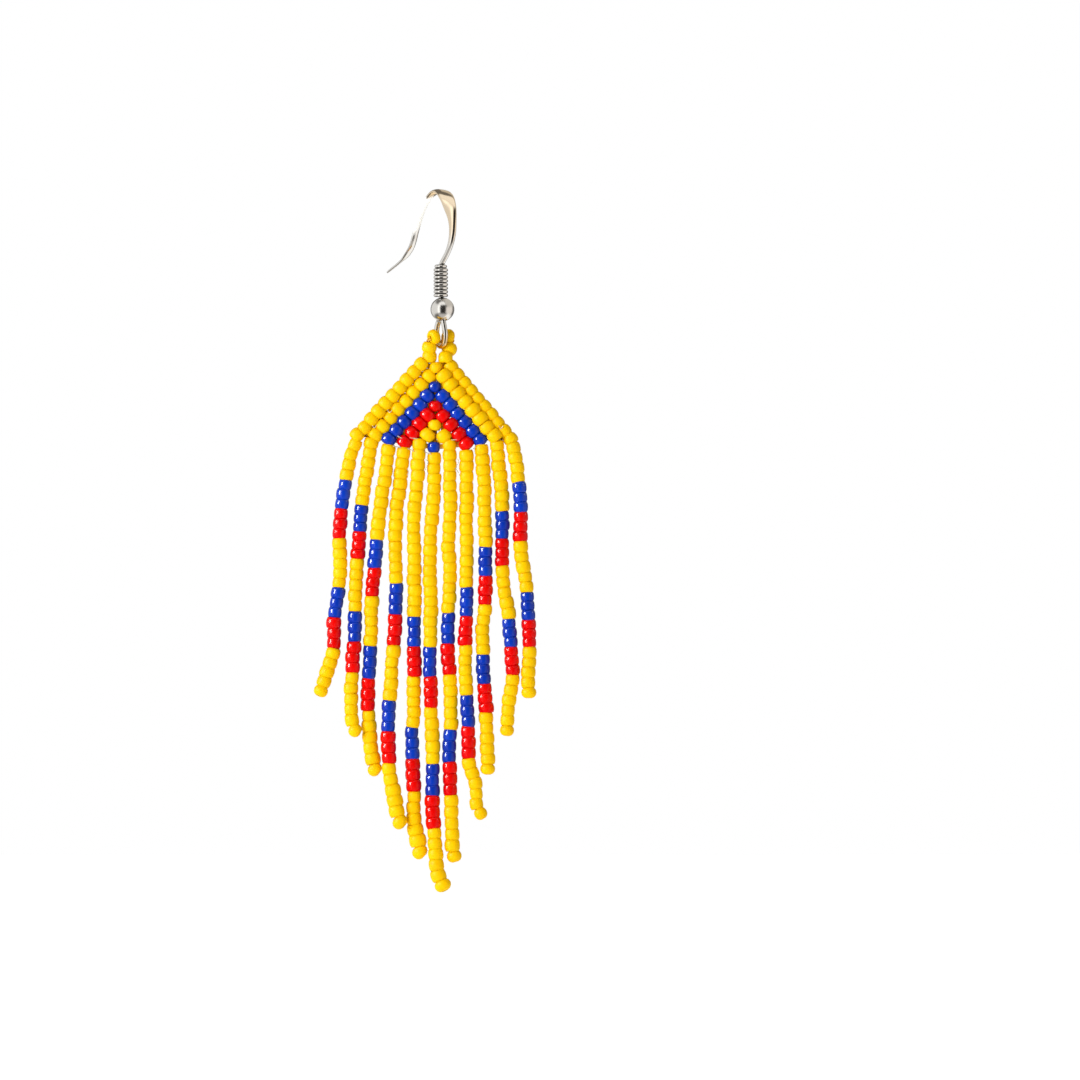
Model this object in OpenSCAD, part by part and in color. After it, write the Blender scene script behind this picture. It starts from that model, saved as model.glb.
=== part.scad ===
// Beaded fringe earring on a sprung-coil ear hook, hanging as worn. Millimetres, +Z up, +Y to the back.
// The origin is the inside of the hook's arch, where the ear carries it.

/* [Ear hook] */
// Diameter of the round wire
wire_d = 0.75; // [0.7:0.01:0.8]
// Turn of the hook's plane away from the front view, in degrees
hook_turn = 56; // [50:1:60]
// Distance of the coil's upright axis in front of the arch's top
coil_u = 0.72; // [0.7:0.01:0.74]
// Sides of the wire's cross-section
wire_sides = 12; // [10:2:16]

/* [Coil and ball] */
// Turns of the wound coil
coil_turns = 9; // [8:1:10]
// Thickness of the coil's wire
coil_wire_d = 0.5; // [0.4:0.01:0.52]
// Outer diameter of the coil
coil_d = 2.07; // [2:0.01:2.2]
// Outer diameter of the coil's last turn, where it closes on the wire
coil_end_d = 1.8; // [1.76:0.01:1.84]
// Height of the coil's upper end
coil_top = -10.16; // [-10.2:0.01:-10.12]
// Height of the coil's lower end
coil_bottom = -14.8; // [-14.8:0.01:-14.7]
// Diameter of the coil's bore
coil_bore_d = 1.04; // [1:0.01:1.06]
// Diameter of the ball
ball_d = 3.4; // [3.2:0.05:3.4]
// Distance of the ball's centre in front of the arch's top
ball_u = 1.14; // [1.12:0.01:1.16]
// Height of the ball's centre
ball_z = -16.56; // [-16.6:0.01:-16.56]
// Diameter of the hole through the ball
ball_hole_d = 1; // [0.96:0.01:1.04]
// Lean of that hole along the slanting wire, in degrees
ball_lean = 8.5; // [8:0.5:9]

/* [Beads] */
// Diameter of a seed bead
bead_d = 1.94; // [1.84:0.01:1.96]
// Diameter of a loop bead
loop_bead_d = 1.86; // [1.8:0.01:1.88]
// Height of a loop bead along its hole
bead_h = 1.3; // [1.2:0.01:1.35]
// Diameter of a bead's hole
bead_hole_d = 0.9; // [0.86:0.01:0.94]
// Diameter of the thread
thread_d = 0.2; // [0.16:0.01:0.22]

/* [Panel] */
// Front-to-back place of the beadwork
drop_y = -0.8; // [-0.9:0.05:-0.7]
// Thickness of the two arms that carry the loop
arm_d = 1.6; // [1.5:0.05:1.65]
// Thickness of the web of threads between the rows
web_t = 0.9; // [0.6:0.1:1.2]

/* [Fringe] */
// Length left free between the panel and a strand's own solid
strand_gap = 0.55; // [0.5:0.05:0.7]
// Sides of a strand's cross-section
strand_sides = 8; // [8:1:8]

/* [Hidden] */

steel = "lightslategray";
yellow = "gold";
thread_white = "whitesmoke";

// Steps that the wire's curve takes between two stations
WIRE_STEPS = 3;
// Sides of the thread, of the panel's rows and holes, and of what is turned
THREAD_SIDES = 6;
ROW_FN = 16;
ROUND_FN = 48;
// Degrees between the corners of a small round profile, and how far each way a ring of the coil bulges
PROFILE_STEP = 30;
RING_BULGE = 60;
// How much wider the coil's bore is at its upper mouth, and how deep that mouth goes
MOUTH_FLARE = 0.18;
MOUTH_DEPTH = 0.5;
// Depth of the holes that take the thread in the panel's arms, and the room round it there
THREAD_HOLE_H = 1.2;
THREAD_CLEAR = 0.2;
// Share of each stretch of the thread that a corner's cut takes off at either end
CORNER_CUT = 0.2;
// Width of a strand's tip as a share of a bead, and the length over which it draws in
TIP_SHARE = 0.6;
TIP_DRAW = 0.46;

// Hook stations from the tail's tip over the arch and down to the end of the lower loop:
// [forward u, height z, width across the hook's plane, thickness in it, turn of the flattened face to the front]
U = 0;
Z = 1;
ACROSS = 2;
THICK = 3;
TURN = 4;
HOOK = [
    [-13.3, -10.93, 0.24, 0.24, 0], [-12.6, -10.62, 0.34, 0.32, 0], [-11.2, -10.05, 0.36, 0.34, 0],
    [-9.9, -9.48, 0.38, 0.36, 0], [-9.1, -9.1, 0.60, 0.42, 0], [-8.5, -8.76, 0.88, 0.46, 0],
    [-7.8, -8.25, 1.02, 0.48, 0], [-7.0, -7.5, 1.04, 0.50, 0], [-6.4, -6.6, 1.00, 0.52, 0],
    [-5.85, -5.4, 0.98, 0.54, 0], [-5.1, -3.9, 0.98, 0.55, 0], [-4.2, -2.4, 1.00, 0.56, 0],
    [-3.2, -1.2, 1.08, 0.57, 0], [-2.2, -0.4, 1.20, 0.59, 0], [-1.1, 0.14, 1.45, 0.62, 0],
    [0.0, 0.33, 1.75, 0.66, 0], [0.9, 0.20, 1.88, 0.58, 8], [1.7, -0.20, 1.95, 0.52, 20],
    [2.4, -0.82, 1.96, 0.50, 32], [2.9, -1.6, 1.92, 0.50, 42], [3.3, -2.45, 1.74, 0.52, 48],
    [3.6, -3.4, 1.42, 0.56, 50], [3.78, -4.5, 1.14, 0.62, 50], [3.76, -5.6, 1.02, 0.66, 48],
    [3.5, -6.7, 0.91, 0.70, 44], [2.95, -7.8, 0.80, 0.74, 35], [2.2, -8.8, wire_d, wire_d, 0],
    [1.45, -9.55, wire_d, wire_d, 0], [0.85, -10.25, wire_d, wire_d, 0],
    [coil_u, -11.1, wire_d, wire_d, 0], [coil_u, -12.6, wire_d, wire_d, 0],
    [0.75, -14.4, wire_d, wire_d, 0], [1.12, -16.5, wire_d, wire_d, 0],
    [1.36, -18.2, wire_d, wire_d, 0], [1.62, -19.1, wire_d, wire_d, 0],
    [1.87, -20.2, wire_d, wire_d, 0], [1.6, -21.4, wire_d, wire_d, 0],
    [0.75, -21.86, wire_d, wire_d, 0], [-0.1, -21.4, wire_d, wire_d, 0],
    [-0.38, -20.2, wire_d, wire_d, 0], [-0.25, -19.0, wire_d, wire_d, 0],
    [0.2, -18.22, wire_d, wire_d, 0]
];

// Loop beads: [centre x, y, z, direction of the hole x, y, z], up the left side and down the right
LOOP_BEADS = [
    [-1.24, -1.0, -21.98, 0.15, -0.1, 0.98],
    [-0.6, -1.3, -20.5, 0.8, 0.54, 0.26],
    [1.42, 0.26, -20.42, 0.8, 0.54, -0.26],
    [1.62, 0.1, -22.2, -0.2, -0.4, -0.9]
];

// Thread of the loop: corners of its path out of the left arm, over the wire and into the right arm
LOOP_THREAD = [
    [-1.24, -0.8, -23.5], [-1.34, -0.9, -22.8], [-1.2, -1.06, -21.5], [-1.6, -1.46, -21.1],
    [-1.33, -1.8, -20.74], [0.13, -0.81, -20.26], [0.42, -0.62, -21.5], [0.69, -0.23, -20.18],
    [2.14, 0.75, -20.65], [2.26, 0.7, -21.1], [1.82, 0.46, -21.5], [1.47, -0.19, -22.84],
    [1.13, -0.8, -23.6]
];

// Panel rows of beads, outermost first:
// [left start x, z, left end x, z, right start x, z, right end x, z]
ROWS = [
    [-2.5, -24.4, -11.5, -34.5, 1.9, -24.8, 10.4, -35.0],
    [-0.2, -24.9, -9.0, -34.4, -0.2, -24.9, 8.1, -34.6],
    [-0.4, -27.6, -7.1, -35.0, -0.4, -27.6, 6.0, -35.2],
    [-0.4, -30.4, -4.8, -35.5, -0.4, -30.4, 4.0, -35.8],
    [-0.5, -33.1, -1.5, -34.5, -0.5, -33.1, 0.7, -34.5],
    [-0.6, -34.4, -0.6, -36.2, -0.6, -34.4, -0.6, -36.2]
];
// Outline of the threads that bind the rows to each other, as a thin web: [x, z]
WEB = [
    [-0.4, -24.4], [-2.6, -24.9], [-11.2, -34.5], [-6.6, -34.6], [-4.6, -35.2], [-3.8, -34.4],
    [3, -34.4], [3.8, -35.4], [5.6, -34.9], [10, -34.9], [1.9, -25.2]
];
// The panel's arms: [top x, z, foot x, z]
ARMS = [[-1.24, -23.55, -2.5, -24.4], [1.11, -23.68, 1.9, -24.8]];

// Routes of the fringe's strands from the panel to the tip: [x, y, z]
STRANDS = [
    [[-11.6, -0.8, -35.2], [-12.6, -0.8, -38], [-13.6, -0.9, -43.5], [-14.1, -0.8, -49],
     [-14, -0.7, -54.5], [-14.8, -0.8, -60.5], [-15, -0.9, -65.5], [-16, -1, -69],
     [-17, -1.1, -71.7]],
    [[-9.4, -0.8, -35], [-10.1, -0.7, -39], [-10.9, -0.6, -44.5], [-11.4, -0.7, -51],
     [-11.8, -0.8, -58], [-12, -0.9, -64.5], [-12.4, -1, -70], [-12.4, -1.2, -74.5],
     [-11.6, -1.4, -77.4]],
    [[-7.1, -0.8, -35.9], [-7.6, -0.9, -40.5], [-8.3, -1, -45.5], [-8.9, -0.9, -51.5],
     [-9.5, -0.8, -58.5], [-9.5, -0.6, -62], [-9.8, -0.5, -66.5], [-10, -0.4, -73],
     [-9.7, -0.3, -78.5], [-8.9, -0.5, -83]],
    [[-4.9, -0.8, -36.3], [-5.3, -0.7, -40.5], [-6, -0.7, -46], [-6.1, -0.8, -51],
     [-6, -0.9, -57.5], [-6.3, -0.9, -64], [-6.8, -1, -70.5], [-7.1, -1.1, -77],
     [-6.9, -1.2, -82.5], [-5.9, -1.4, -88], [-5.1, -1.6, -90.4]],
    [[-2.7, -0.8, -35.1], [-2.9, -0.9, -39.5], [-3.4, -0.9, -46], [-3.4, -0.8, -53],
     [-3.4, -0.7, -60], [-3.4, -0.6, -67], [-3.5, -0.6, -74], [-3.7, -0.5, -78],
     [-3.5, -0.5, -84.5], [-3.3, -0.4, -90.5], [-2.4, -0.5, -94.8]],
    [[-0.5, -0.8, -37.1], [-0.6, -0.7, -42], [-1, -0.7, -48], [-1.2, -0.8, -54],
     [-1, -0.9, -58.5], [-1.2, -0.9, -66], [-1, -0.9, -73], [-0.8, -0.8, -78],
     [-0.8, -0.8, -85], [-0.5, -0.9, -92], [0, -1.1, -97], [1, -1.3, -99.5]],
    [[1.7, -0.8, -35.2], [1.7, -0.9, -41], [1.7, -0.9, -47], [1.5, -0.8, -51],
     [1.7, -0.7, -55], [1.4, -0.6, -62], [1.6, -0.6, -68.5], [1.9, -0.7, -75],
     [1.6, -0.7, -79], [1.8, -0.8, -85.5], [2, -0.7, -92], [2.5, -0.6, -95.4]],
    [[4.1, -0.8, -36.7], [4.1, -0.7, -42], [4, -0.7, -46], [4.1, -0.8, -51.5],
     [4.1, -0.9, -58], [3.9, -1, -64.5], [4, -1, -70], [4.3, -0.9, -76],
     [4.4, -0.8, -81], [5.3, -0.7, -84.5], [5.6, -0.7, -87.5], [6.5, -0.9, -89.2]],
    [[6.2, -0.8, -35.9], [6.5, -0.9, -40], [6.7, -1, -46], [6.8, -0.9, -52.5],
     [6.7, -0.8, -58.5], [6.4, -0.7, -62], [6.5, -0.6, -68.5], [6.9, -0.6, -74.5],
     [7.1, -0.7, -80], [7, -0.8, -82.9]],
    [[8.3, -0.8, -35.3], [8.8, -0.7, -40], [9.2, -0.6, -46], [9.1, -0.7, -51],
     [9.4, -0.8, -56], [10.1, -0.9, -60.5], [10.5, -1, -66], [10.6, -1, -69.5],
     [10, -0.9, -73.5], [9.9, -0.8, -77.4]],
    [[10.6, -0.8, -35.7], [11.4, -0.9, -40], [11.8, -0.9, -46], [11.8, -0.8, -50.5],
     [12.4, -0.7, -54.5], [12.8, -0.7, -59], [13, -0.8, -65], [12.9, -0.9, -68.5],
     [13, -1, -72]]
];

// The hook's forward direction, and the way across its plane
forward = [cos(hook_turn), -sin(hook_turn), 0];
sideways = [sin(hook_turn), cos(hook_turn), 0];
upward = [0, 0, 1];
backward = [0, 1, 0];
coil_pitch = (coil_top - coil_bottom - coil_wire_d) / (coil_turns - 1);

function unit(v) = v / norm(v);
function place(u, z) = u * forward + z * upward;
function last(list) = len(list) - 1;

// Point, or section size, at t between the second and third of four stations on a smooth curve
function curve_at(a, b, c, d, t) =
    0.5 * (2 * b + (c - a) * t + (2 * a - 5 * b + 4 * c - d) * t * t
        + (3 * b - a - 3 * c + d) * t * t * t);
function smooth(stations, steps) = [
    for (i = [0 : last(stations) - 1], s = [0 : steps - 1])
        curve_at(
            stations[max(i - 1, 0)], stations[i], stations[i + 1],
            stations[min(i + 2, last(stations))], s / steps
        ),
    stations[last(stations)]
];

// A path with each corner cut once, its two ends kept
function cut_corners(path) = concat(
    [path[0]],
    [
        for (i = [0 : last(path) - 1], t = [CORNER_CUT, 1 - CORNER_CUT])
            path[i] * (1 - t) + path[i + 1] * t
    ],
    [path[last(path)]]
);

function tangent(path, i) = unit(path[min(i + 1, last(path))] - path[max(i - 1, 0)]);

// Faces of a closed tube of so many rings of so many points
function tube_faces(rings, sides) = concat(
    [[for (k = [0 : sides - 1]) k]],
    [
        for (i = [0 : rings - 2], k = [0 : sides - 1])
            [i * sides + k, (i + 1) * sides + k, (i + 1) * sides + (k + 1) % sides,
             i * sides + (k + 1) % sides]
    ],
    [[for (k = [sides - 1 : -1 : 0]) (rings - 1) * sides + k]]
);

// A round tube along a path that never runs along the given side direction
module tube(path, diameters, sides, side) {
    points = [
        for (i = [0 : last(path)])
            let (
                way = tangent(path, i),
                e1 = unit(side - (side * way) * way),
                e2 = cross(way, e1)
            )
            for (k = [0 : sides - 1])
                let (turn = 360 * (k + 0.5) / sides)
                path[i] + diameters[i] / 2 * (cos(turn) * e1 + sin(turn) * e2)
    ];
    polyhedron(points, tube_faces(len(path), sides), convexity = 6);
}

// The hook: one wire from the tail over the arch, down through coil and ball and round the lower loop
module ear_hook() {
    stations = smooth(HOOK, WIRE_STEPS);
    path = [for (s = stations) place(s[U], s[Z])];
    points = [
        for (i = [0 : last(path)])
            let (
                outward = cross(tangent(path, i), sideways),
                lean = stations[i][TURN],
                broad = cos(lean) * sideways + sin(lean) * outward,
                narrow = cos(lean) * outward - sin(lean) * sideways
            )
            for (k = [0 : wire_sides - 1])
                let (turn = 360 * (k + 0.5) / wire_sides)
                path[i] + stations[i][ACROSS] / 2 * cos(turn) * broad
                    + stations[i][THICK] / 2 * sin(turn) * narrow
    ];
    color(steel) polyhedron(points, tube_faces(len(path), wire_sides), convexity = 8);
}

// The coil as a ringed sleeve round the wire, its last turn closer and its bore wider where the wire leans in
module hook_coil() {
    ring_r = coil_wire_d / 2;
    bore_r = coil_bore_d / 2;
    height = coil_top - coil_bottom;
    profile = concat(
        [[bore_r, 0]],
        [
            for (i = [0 : coil_turns - 1], a = [-RING_BULGE : PROFILE_STEP : RING_BULGE])
                let (outer_r = (i < coil_turns - 1 ? coil_d : coil_end_d) / 2)
                [outer_r - ring_r + ring_r * cos(a), ring_r + i * coil_pitch + ring_r * sin(a)]
        ],
        [[bore_r + MOUTH_FLARE, height], [bore_r, height - MOUTH_DEPTH]]
    );
    color(steel) translate(place(coil_u, coil_bottom))
        rotate_extrude($fn = ROUND_FN) polygon(profile);
}

// The ball, drilled along the wire that slants through it
module hook_ball() {
    color(steel) translate(place(ball_u, ball_z)) difference() {
        sphere(d = ball_d, $fn = ROUND_FN);
        turn_up(place(-sin(ball_lean), cos(ball_lean)))
            cylinder(d = ball_hole_d, h = ball_d * 2, center = true, $fn = ROUND_FN);
    }
}

// One rounded bead on its hole's axis, centred
module bead() {
    wall = (loop_bead_d - bead_hole_d) / 2;
    profile = [
        for (a = [0 : PROFILE_STEP : 360 - PROFILE_STEP])
            [(loop_bead_d + bead_hole_d) / 4 + wall / 2 * cos(a), bead_h / 2 * sin(a)]
    ];
    rotate_extrude($fn = ROUND_FN) polygon(profile);
}

// Turns what stands along +Z to stand along the given way
module turn_up(way) {
    rotate([0, acos(way[2]), atan2(way[1], way[0])]) children();
}

// The four upper beads of the loop, drilled for its thread
module loop_beads() {
    color(yellow) for (b = LOOP_BEADS) {
        way = unit([b[3], b[4], b[5]]);
        translate([b[0], b[1], b[2]]) turn_up(way) bead();
    }
}

module loop_thread() {
    path = cut_corners(LOOP_THREAD);
    color(thread_white)
        tube(path, [for (p = path) thread_d], THREAD_SIDES, forward);
}

// A straight row of beads as one rounded bar
module row_bar(x0, z0, x1, z1, d0, d1) {
    hull() {
        translate([x0, drop_y, z0]) sphere(d = d0, $fn = ROW_FN);
        translate([x1, drop_y, z1]) sphere(d = d1, $fn = ROW_FN);
    }
}

// The woven panel: sloping rows that meet on the middle line, with two arms up to the loop
module bead_panel() {
    color(yellow) difference() {
        union() {
            for (r = ROWS) {
                row_bar(r[0], r[1], r[2], r[3], bead_d, bead_d);
                row_bar(r[4], r[5], r[6], r[7], bead_d, bead_d);
            }
            for (a = ARMS) row_bar(a[0], a[1], a[2], a[3], arm_d, bead_d);
            translate([0, drop_y, 0]) rotate([90, 0, 0])
                linear_extrude(web_t, center = true) polygon(WEB);
        }
        for (ends = [[0, 1], [last(LOOP_THREAD), last(LOOP_THREAD) - 1]]) {
            way = unit(LOOP_THREAD[ends[1]] - LOOP_THREAD[ends[0]]);
            translate(LOOP_THREAD[ends[0]] - THREAD_CLEAR * way) turn_up(way)
                cylinder(d = thread_d + 2 * THREAD_CLEAR, h = THREAD_HOLE_H, $fn = ROW_FN);
        }
    }
}

// One strand of the fringe as a plain cord of a bead's thickness, its tip drawn in
module strand(route) {
    top = route[0] + strand_gap * unit(route[1] - route[0]);
    tip = route[last(route)];
    shoulder = tip - TIP_DRAW * unit(tip - route[last(route) - 1]);
    path = concat(
        [top], [for (i = [1 : last(route) - 1]) route[i]], [shoulder, tip]
    );
    diameters = concat([for (i = [0 : last(path) - 1]) bead_d], [bead_d * TIP_SHARE]);
    color(yellow) tube(path, diameters, strand_sides, backward);
}

ear_hook();
hook_coil();
hook_ball();
loop_beads();
loop_thread();
bead_panel();
strand(STRANDS[0]);  // strand_01
strand(STRANDS[1]);  // strand_02
strand(STRANDS[2]);  // strand_03
strand(STRANDS[3]);  // strand_04
strand(STRANDS[4]);  // strand_05
strand(STRANDS[5]);  // strand_06
strand(STRANDS[6]);  // strand_07
strand(STRANDS[7]);  // strand_08
strand(STRANDS[8]);  // strand_09
strand(STRANDS[9]);  // strand_10
strand(STRANDS[10]);  // strand_11
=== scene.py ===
"""Beaded fringe earring on a sprung-coil ear hook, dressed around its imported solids.

All sizes in the classes are millimetres. Meshes are modelled in millimetres and brought to metres at the end.
+X is right, +Y is away from the camera and +Z is up. The origin is the inside of the hook's arch.
"""

import logging
import math
from collections.abc import Callable, Sequence
from dataclasses import dataclass, field
from enum import Enum

import bmesh
import bpy
import numpy as np
from mathutils import Matrix, Vector

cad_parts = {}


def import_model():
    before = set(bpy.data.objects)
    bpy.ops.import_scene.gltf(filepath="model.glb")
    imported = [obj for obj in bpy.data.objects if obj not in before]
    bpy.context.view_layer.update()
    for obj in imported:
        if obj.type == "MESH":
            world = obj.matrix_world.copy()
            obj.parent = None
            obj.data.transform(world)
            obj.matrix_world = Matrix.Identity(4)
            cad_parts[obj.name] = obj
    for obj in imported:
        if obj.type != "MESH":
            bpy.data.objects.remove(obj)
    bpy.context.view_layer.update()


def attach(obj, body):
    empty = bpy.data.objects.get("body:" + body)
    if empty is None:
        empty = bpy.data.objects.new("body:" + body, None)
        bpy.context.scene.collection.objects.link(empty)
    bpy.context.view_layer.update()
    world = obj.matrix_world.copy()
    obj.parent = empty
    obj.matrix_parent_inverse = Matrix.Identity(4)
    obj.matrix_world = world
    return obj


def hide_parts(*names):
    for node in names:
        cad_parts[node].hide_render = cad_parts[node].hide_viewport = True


LOG = logging.getLogger("earring")
MM = 0.001
SEED = 41
TONE = "bead_tone"
SMOOTH_DEG = 50

# The settings of a node that ramps smoothly, and of one that mixes colours
SMOOTH = {"interpolation_type": "SMOOTHSTEP"}
COLOUR = {"data_type": "RGBA"}

# Beads rounder than those of a strand: in the panel and the loop, and at the strands' ends
ROUND_PROFILE = ((0.945, 0.5), (0.76, 0.88), (0.42, 1.0))
END_PROFILE = ((0.92, 0.46), (0.7, 0.82), (0.38, 1.0))

PHOTO_SIDE_PX = 1080
PHOTO_PX_PER_MM = 7.0
PHOTO_ORIGIN_PX = (438.0, 193.5)

Point = Sequence[float]
Piece = bpy.types.Object
Material = bpy.types.Material
Tree = bpy.types.NodeTree
Node = bpy.types.Node
Socket = bpy.types.NodeSocket


class Glass(Enum):
    """Colours of the seed beads."""

    YELLOW = 0
    BLUE = 1
    RED = 2


def linear(code: str) -> tuple[float, float, float, float]:
    """Turns an sRGB hex colour into linear light.

    Args:
        code: the colour as "#RRGGBB".

    Returns:
        Red, green, blue and an alpha of 1.
    """
    parts = [int(code[i : i + 2], 16) / 255 for i in (1, 3, 5)]
    red, green, blue = (c / 12.92 if c <= 0.04045 else ((c + 0.055) / 1.055) ** 2.4 for c in parts)
    return red, green, blue, 1.0


def feed(node: Node, values: dict | None = None, links: dict | None = None) -> None:
    """Sets a node's socket values and incoming links.

    Args:
        node: the node.
        values: numbers, vectors or colours by input name or number.
        links: what feeds each input: an output socket, or a node whose first output it is.
    """
    for name, value in (values or {}).items():
        node.inputs[name].default_value = value
    for name, source in (links or {}).items():
        socket = source if isinstance(source, Socket) else source.outputs[0]
        node.id_data.links.new(socket, node.inputs[name])


def add_node(
    tree: Tree, kind: str, values: dict | None = None, links: dict | None = None, **settings: object
) -> Node:
    """Adds a node with its settings, socket values and incoming links.

    Args:
        tree: the node tree.
        kind: the node's type name.
        values: its socket values, as feed takes them.
        links: its incoming links, as feed takes them.
        settings: the node's own properties.

    Returns:
        The new node.
    """
    node = tree.nodes.new(kind)
    for name, setting in settings.items():
        setattr(node, name, setting)
    feed(node, values, links)
    return node


def start_material(name: str) -> tuple[Material, Tree, Node]:
    """Starts a material.

    Args:
        name: its name.

    Returns:
        The material, its node tree and its shader.
    """
    material = bpy.data.materials.new(name)
    material.use_nodes = True
    return material, material.node_tree, material.node_tree.nodes["Principled BSDF"]


def unit(v: Point) -> np.ndarray:
    """Returns v as an array of length 1."""
    v = np.asarray(v, float)
    return v / np.linalg.norm(v)


def smooth_path(stations: Sequence[Point], steps: int) -> np.ndarray:
    """Runs a smooth curve through stations.

    Args:
        stations: rows of numbers, such as points or points with section sizes.
        steps: how many parts each stretch between two stations is cut into.

    Returns:
        Rows along the curve, the first and last being the first and last station.
    """
    s = np.asarray(stations, float)
    rows = []
    for i in range(len(s) - 1):
        a, b, c, d = s[max(i - 1, 0)], s[i], s[i + 1], s[min(i + 2, len(s) - 1)]
        for k in range(steps):
            t = k / steps
            square, cube = 2 * a - 5 * b + 4 * c - d, 3 * b - a - 3 * c + d
            rows.append(0.5 * (2 * b + (c - a) * t + square * t**2 + cube * t**3))
    return np.array([*rows, s[-1]])


def walk(path: np.ndarray, lengths: Sequence[float]) -> tuple[np.ndarray, np.ndarray]:
    """Finds points and directions along a path.

    Args:
        path: points close together.
        lengths: distances from the path's start.

    Returns:
        The points at those distances, and the path's direction at each.
    """
    steps = np.linalg.norm(np.diff(path, axis=0), axis=1)
    marks = np.concatenate([[0.0], np.cumsum(steps)])
    ways = np.gradient(path, axis=0)
    points = np.array([[np.interp(x, marks, path[:, k]) for k in range(3)] for x in lengths])
    heads = np.array([unit([np.interp(x, marks, ways[:, k]) for k in range(3)]) for x in lengths])
    return points, heads


def start_fresh() -> None:
    """Leaves edit mode and deselects everything."""
    if bpy.context.object and bpy.context.object.mode != "OBJECT":
        bpy.ops.object.mode_set(mode="OBJECT")
    bpy.ops.object.select_all(action="DESELECT")


def select_vertices(piece: Piece, wanted: Callable[[Vector], bool]) -> None:
    """Selects vertices of a mesh in edit mode.

    Args:
        piece: the object being edited.
        wanted: a test on a vertex's place.
    """
    mesh = bmesh.from_edit_mesh(piece.data)
    bpy.ops.mesh.select_all(action="DESELECT")
    for vertex in mesh.verts:
        vertex.select_set(wanted(vertex.co))
    mesh.select_flush(True)
    bmesh.update_edit_mesh(piece.data)


def bring_home(piece: Piece, name: str, material: Material) -> Piece:
    """Finishes a piece modelled in millimetres: metres, smooth faces, its name and its material.

    Args:
        piece: the object.
        name: the piece's name.
        material: its material.

    Returns:
        The same object, at the origin.
    """
    start_fresh()
    piece.select_set(True)
    bpy.context.view_layer.objects.active = piece
    bpy.ops.object.transform_apply(location=True, rotation=True, scale=True)
    piece.data.transform(Matrix.Scale(MM, 4))
    piece.data.materials.clear()
    piece.data.materials.append(material)
    piece.name = piece.data.name = name
    bpy.ops.object.shade_smooth_by_angle(angle=math.radians(SMOOTH_DEG))
    return piece


def mount(piece: Piece, body: str, slot: str, *nodes: str) -> None:
    """Puts a finished piece on its body, and reports it.

    Args:
        piece: the object.
        body: the body that it rides on.
        slot: the material slot that it would take; not used.
        nodes: the solids that it stands for, if any.
    """
    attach(piece, body)
    if nodes:
        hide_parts(*nodes)
    LOG.info("%s: %d faces on %s", piece.name, len(piece.data.polygons), body)


def rolled_tube(sides: int, rings: int) -> Piece:
    """Models a closed bar of radius 1 along +Z, from 0 to 1, whose map runs round and along it.

    Args:
        sides: how many sides it has.
        rings: how many rings of vertices, its ends counted.

    Returns:
        The bar, in object mode.
    """
    start_fresh()
    bpy.ops.mesh.primitive_grid_add(x_subdivisions=sides, y_subdivisions=rings - 1, size=1.0, calc_uvs=True)
    bar = bpy.context.active_object
    for vertex in bar.data.vertices:
        turn = 2 * math.pi * (vertex.co.x + 0.5)
        vertex.co = (math.cos(turn), math.sin(turn), vertex.co.y + 0.5)
    seam_reach, end_reach = 0.5 / sides / rings, 0.1 / rings
    bpy.ops.object.mode_set(mode="EDIT")
    bpy.ops.mesh.select_all(action="SELECT")
    bpy.ops.mesh.remove_doubles(threshold=seam_reach)
    for level in (0.0, 1.0):
        select_vertices(bar, lambda co, level=level: abs(co.z - level) < end_reach)
        bpy.ops.mesh.edge_face_add()
    bpy.ops.mesh.select_all(action="SELECT")
    bpy.ops.mesh.normals_make_consistent(inside=False)
    bpy.ops.object.mode_set(mode="OBJECT")
    return bar


def sweep(
    path: np.ndarray,
    wide: np.ndarray,
    thick: np.ndarray,
    side: Point,
    sides: int,
    lean_deg: np.ndarray | None = None,
) -> Piece:
    """Bends a straight bar along a path.

    Args:
        path: the bar's centre line, a point for each ring.
        wide: its width at each ring, across the side direction.
        thick: its thickness at each ring.
        side: a direction that the path never runs along.
        sides: how many sides the bar has.
        lean_deg: how far its section is turned at each ring, if it is.

    Returns:
        The bent bar, in millimetres.
    """
    bar = rolled_tube(sides, len(path))
    ways = np.array([unit(w) for w in np.gradient(path, axis=0)])
    across = np.array([unit(np.asarray(side) - np.dot(side, w) * w) for w in ways])
    outward = np.cross(ways, across)
    if lean_deg is not None:
        cos, sin = np.cos(np.radians(lean_deg))[:, None], np.sin(np.radians(lean_deg))[:, None]
        across, outward = cos * across + sin * outward, cos * outward - sin * across
    for vertex in bar.data.vertices:
        i = round(vertex.co.z * (len(path) - 1))
        vertex.co = Vector(
            path[i] + vertex.co.x * wide[i] / 2 * across[i] + vertex.co.y * thick[i] / 2 * outward[i]
        )
    return bar


def line_of(path: np.ndarray, diameter: float, side: Point, sides: int = 6) -> Piece:
    """Makes a round thread of one thickness along a path."""
    width = np.full(len(path), diameter)
    return sweep(path, width, width, side, sides)


def joined(pieces: list[Piece]) -> Piece:
    """Joins objects.

    Args:
        pieces: the objects.

    Returns:
        The first of them, which now holds them all.
    """
    start_fresh()
    for piece in pieces:
        piece.select_set(True)
    bpy.context.view_layer.objects.active = pieces[0]
    bpy.ops.object.join()
    return pieces[0]


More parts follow.
